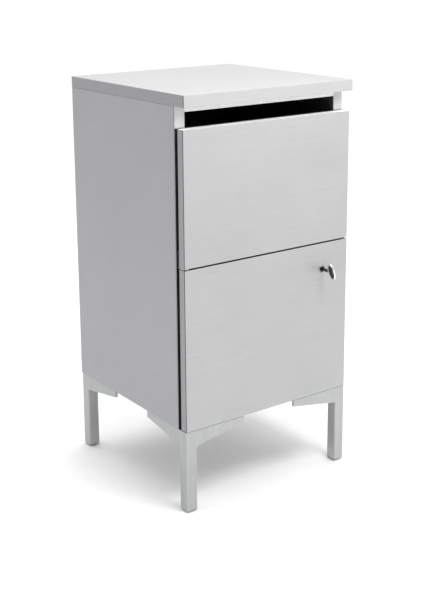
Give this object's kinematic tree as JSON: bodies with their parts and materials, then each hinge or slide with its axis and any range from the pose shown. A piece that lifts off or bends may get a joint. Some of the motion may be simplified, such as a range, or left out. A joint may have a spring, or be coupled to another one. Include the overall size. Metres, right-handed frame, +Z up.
{
  "type": "free-standing mail drop cabinet",
  "caption": "Square mail drop cabinet with a posting slot under its overhanging top, a fixed upper front, a lockable pivot door with its key, and cast corner legs.",
  "frame": {"origin": "on the floor, at the middle of the footprint's bounding box, the key in the lock included, so the cabinet's own middle is 15.5 mm behind it", "axes": "+Z up, the fronts, slot and lock face -Y, +X is to the right of someone facing the fronts"},
  "size_m": [0.4, 0.431, 0.8],
  "materials": {
    "metal_look_board": "satin metal-look laminate, fine brushed grain",
    "front_core": "satin metal-look laminate",
    "front_facing": "fine horizontal brushing, satin",
    "edge_band": "satin, metal coloured",
    "cast_leg": "cast, ground and satin",
    "steel": "satin",
    "zinc": "bright zinc plate",
    "black_sheet": "matt black powder coat",
    "black_plastic": "moulded, semi-gloss",
    "rubber": "matt",
    "nylon": "natural nylon",
    "beech": "raw beech",
    "chrome": "satin nickel chrome"
  },
  "bodies": {
    "cabinet": {"top_board": "metal_look_board", "top_edge_band": "edge_band", "side_left": "metal_look_board", "side_left_edge_band": "edge_band", "side_right": "metal_look_board", "side_right_edge_band": "edge_band", "bottom_board": "metal_look_board", "back_panel": "metal_look_board", "mid_rail": "metal_look_board", "slot_rail": "edge_band", "upper_front_board": "front_core", "upper_front_facing": "front_facing", "front_bracket_upper_left": "zinc", "front_bracket_upper_right": "zinc", "front_bracket_lower_left": "zinc", "front_bracket_lower_right": "zinc", "mail_chute": "black_sheet", "pivot_bracket_top": "steel", "pivot_pin_top": "steel", "pivot_plate_bottom": "steel", "pivot_pin_bottom": "steel", "strike_plate": "zinc", "door_buffers": "rubber", "gap_strip_left": "black_plastic", "gap_strip_right": "black_plastic", "leg_front_left": "cast_leg", "leg_front_right": "cast_leg", "leg_back_left": "cast_leg", "leg_back_right": "cast_leg", "leg_plate_front_right": "steel", "leg_plate_back_left": "steel", "leg_plate_back_right": "steel", "glide_front_left": "black_plastic", "glide_front_right": "black_plastic", "glide_back_left": "black_plastic", "glide_back_right": "black_plastic", "dowels": "beech", "cam_bolts": "zinc", "cam_housings": "zinc", "leg_screws": "zinc", "front_bracket_screws": "zinc", "chute_screws": "zinc", "strike_screws": "zinc", "pivot_screws": "zinc", "slot_rail_screws": "zinc"},
    "door": {"door_board": "front_core", "door_facing": "front_facing", "pivot_bush_top": "nylon", "pivot_bush_bottom": "nylon", "lock_housing": "chrome", "lock_nut": "zinc"},
    "lock_barrel": {"lock_plug": "chrome", "lock_cam": "zinc", "cam_screw": "zinc"},
    "key": {"key_blade": "chrome", "key_bow": "chrome"}
  },
  "joints": [
    {"name": "door_hinge", "type": "hinge", "parent": "cabinet", "child": "door", "pos_m": [-0.19, -0.1695, 0.322], "axis": [0, 0, -1], "range_deg": [0, 180]},
    {"name": "lock_turn", "type": "hinge", "parent": "door", "child": "lock_barrel", "pos_m": [0.133, -0.1795, 0.4265], "axis": [0, -1, 0], "range_deg": [-17, 73]},
    {"name": "key_pull", "type": "slide", "parent": "lock_barrel", "child": "key", "axis": [0, -1, 0], "range_m": [0, 0.022]}
  ]
}
